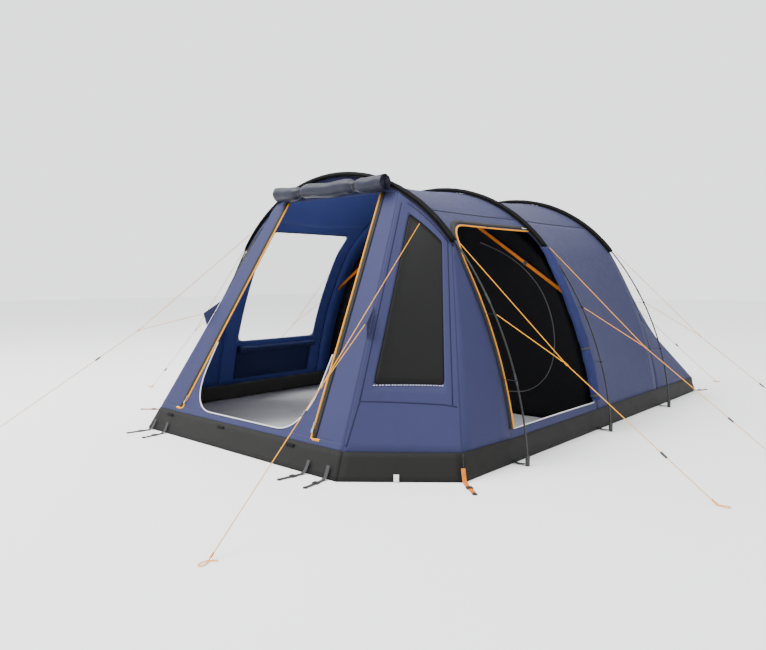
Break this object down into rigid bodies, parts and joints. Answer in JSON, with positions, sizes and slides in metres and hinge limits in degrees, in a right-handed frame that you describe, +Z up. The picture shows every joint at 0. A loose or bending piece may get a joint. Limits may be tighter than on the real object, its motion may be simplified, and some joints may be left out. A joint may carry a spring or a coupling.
{
  "type": "tunnel tent",
  "caption": "Three-hoop family tunnel tent pitched with guylines, sloping front door and side door rolled open, tinted corner windows, dark inner bedroom and mud band.",
  "frame": {"origin": "on the ground, half way between the front and rear peg straps and on the tent's middle line", "axes": "+X to the side door's side, -Y out of the front door, +Z up"},
  "size_m": [5.4288, 6.3188, 1.9175],
  "materials": {
    "pole": "satin fibreglass",
    "sleeve_cloth": "woven polyester",
    "ferrule_metal": "drawn",
    "black_plastic": "moulded",
    "black_webbing": "webbing",
    "fly_cloth": "coated ripstop polyester",
    "dark_window": "tinted film",
    "clear_window": "clear film",
    "mud_cloth": "coated oxford",
    "floor_cloth": "coated polyethylene",
    "orange_zip": "coil zip",
    "flap_cloth": "coated polyester",
    "grey_zip": "coil zip",
    "slider_metal": "painted",
    "grey_webbing": "webbing",
    "inner_cloth": "dark woven polyester",
    "inner_floor": "coated polyethylene",
    "dark_blue_cloth": "coated polyester",
    "orange_webbing": "webbing",
    "guyline_cord": "braided cord",
    "runner_plastic": "moulded"
  },
  "bodies": {
    "tent": {"hoop_pole_front": "pole", "pole_sleeve_front": "sleeve_cloth", "hoop_pole_middle": "pole", "pole_sleeve_middle": "sleeve_cloth", "hoop_pole_rear": "pole", "pole_sleeve_rear": "sleeve_cloth", "pole_ferrules": "ferrule_metal", "pole_feet": "black_plastic", "pole_clips": "black_webbing", "front_panel": "fly_cloth", "corner_panel_right": "fly_cloth", "corner_panel_left": "fly_cloth", "roof_living": "fly_cloth", "wall_left": "fly_cloth", "wall_right": "fly_cloth", "fly_bedroom": "fly_cloth", "fly_rear": "fly_cloth", "guy_flaps": "fly_cloth", "corner_windows": "dark_window", "side_window": "clear_window", "mud_band": "mud_cloth", "groundsheet": "floor_cloth", "door_zips": "orange_zip", "zip_flaps": "flap_cloth", "bedroom_zip": "grey_zip", "front_door_roll": "fly_cloth", "side_door_roll": "fly_cloth", "door_toggles": "grey_webbing", "bedroom_canopy": "inner_cloth", "bedroom_front": "inner_cloth", "bedroom_floor": "inner_floor", "window_blind": "dark_blue_cloth", "webbing_straps": "grey_webbing", "orange_straps": "orange_webbing", "ladder_locks": "black_plastic", "peg_rings": "black_plastic", "guyline_front_right": "guyline_cord", "guyline_front_left": "guyline_cord", "guyline_middle_right": "guyline_cord", "guyline_middle_left": "guyline_cord", "guyline_rear_right": "guyline_cord", "guyline_rear_left": "guyline_cord", "guyline_porch_right": "guyline_cord", "guyline_porch_left": "guyline_cord", "guyline_corner_right": "guyline_cord", "guyline_corner_left": "guyline_cord"},
    "front_slider_right_body": {"front_slider_right": "slider_metal"},
    "front_slider_left_body": {"front_slider_left": "slider_metal"},
    "side_slider_body": {"side_slider": "slider_metal"},
    "bedroom_slider_body": {"bedroom_slider": "slider_metal"},
    "runner_front_right_body": {"runner_front_right": "runner_plastic"},
    "runner_front_left_body": {"runner_front_left": "runner_plastic"},
    "runner_middle_right_body": {"runner_middle_right": "runner_plastic"},
    "runner_middle_left_body": {"runner_middle_left": "runner_plastic"},
    "runner_rear_right_body": {"runner_rear_right": "runner_plastic"},
    "runner_rear_left_body": {"runner_rear_left": "runner_plastic"},
    "runner_porch_right_body": {"runner_porch_right": "runner_plastic"},
    "runner_porch_left_body": {"runner_porch_left": "runner_plastic"},
    "runner_corner_right_body": {"runner_corner_right": "runner_plastic"},
    "runner_corner_left_body": {"runner_corner_left": "runner_plastic"}
  },
  "joints": [
    {"name": "front_zip_right_slide", "type": "slide", "parent": "tent", "child": "front_slider_right_body", "axis": [-0.1193, 0.4851, 0.8663], "range_m": [0, 1.5]},
    {"name": "front_zip_left_slide", "type": "slide", "parent": "tent", "child": "front_slider_left_body", "axis": [0.1193, 0.4851, 0.8663], "range_m": [0, 1.5]},
    {"name": "side_zip_slide", "type": "slide", "parent": "tent", "child": "side_slider_body", "axis": [0, -1, 0], "range_m": [0, 0.75]},
    {"name": "bedroom_zip_slide", "type": "slide", "parent": "tent", "child": "bedroom_slider_body", "axis": [-1, 0, 0], "range_m": [0, 0.95]},
    {"name": "runner_front_right_slide", "type": "slide", "parent": "tent", "child": "runner_front_right_body", "axis": [0.7929, 0, -0.6093], "range_m": [-0.45, 0.25]},
    {"name": "runner_front_left_slide", "type": "slide", "parent": "tent", "child": "runner_front_left_body", "axis": [-0.7929, 0, -0.6093], "range_m": [-0.45, 0.25]},
    {"name": "runner_middle_right_slide", "type": "slide", "parent": "tent", "child": "runner_middle_right_body", "axis": [0.7929, 0, -0.6093], "range_m": [-0.45, 0.24]},
    {"name": "runner_middle_left_slide", "type": "slide", "parent": "tent", "child": "runner_middle_left_body", "axis": [-0.7929, 0, -0.6093], "range_m": [-0.45, 0.24]},
    {"name": "runner_rear_right_slide", "type": "slide", "parent": "tent", "child": "runner_rear_right_body", "axis": [0.7929, 0, -0.6093], "range_m": [-0.45, 0.3]},
    {"name": "runner_rear_left_slide", "type": "slide", "parent": "tent", "child": "runner_rear_left_body", "axis": [-0.7929, 0, -0.6093], "range_m": [-0.45, 0.3]},
    {"name": "runner_porch_right_slide", "type": "slide", "parent": "tent", "child": "runner_porch_right_body", "axis": [0.2417, -0.8094, -0.5352], "range_m": [-0.1, 0.6]},
    {"name": "runner_porch_left_slide", "type": "slide", "parent": "tent", "child": "runner_porch_left_body", "axis": [-0.222, -0.8002, -0.5571], "range_m": [-0.25, 0.6]},
    {"name": "runner_corner_right_slide", "type": "slide", "parent": "tent", "child": "runner_corner_right_body", "axis": [0.3533, 0.7273, -0.5883], "range_m": [-0.6, 0.5]},
    {"name": "runner_corner_left_slide", "type": "slide", "parent": "tent", "child": "runner_corner_left_body", "axis": [-0.3533, 0.7273, -0.5883], "range_m": [-0.6, 0.5]}
  ]
}
